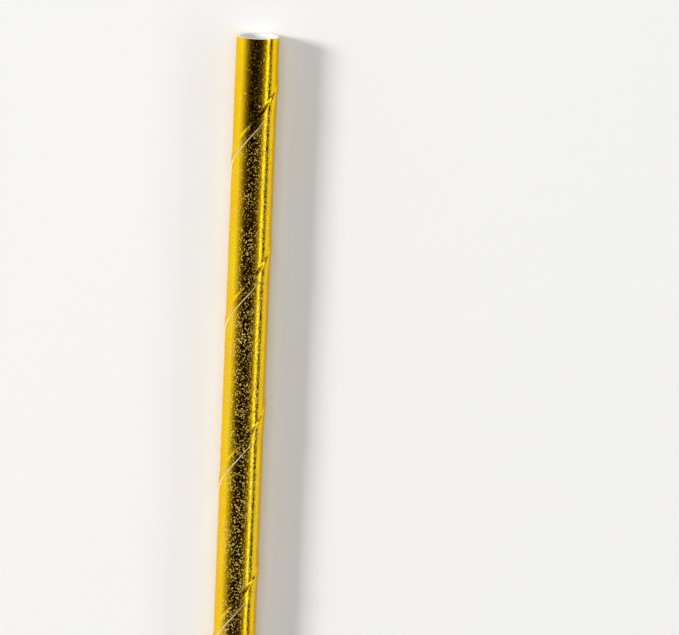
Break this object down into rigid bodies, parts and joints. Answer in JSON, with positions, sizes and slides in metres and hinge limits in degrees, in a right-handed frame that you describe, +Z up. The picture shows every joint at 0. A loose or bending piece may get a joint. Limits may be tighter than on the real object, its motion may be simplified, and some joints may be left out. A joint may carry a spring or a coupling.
{
  "type": "foil-wrapped drinking straw",
  "caption": "Straight paper drinking straw wound in a gold foil strip, with a raised helical lap seam, a smooth bore and square-cut open ends.",
  "frame": {"origin": "middle of the straw's length, on the surface it lies on", "axes": "+X along the straw towards its upper end, +Z up from the surface it lies on"},
  "size_m": [0.197, 0.0062, 0.0062],
  "materials": {
    "white_paper": "matte",
    "gold_foil": "gloss"
  },
  "bodies": {
    "root": {"paper_tube": "white_paper", "foil_wrap": "gold_foil"}
  },
  "joints": []
}
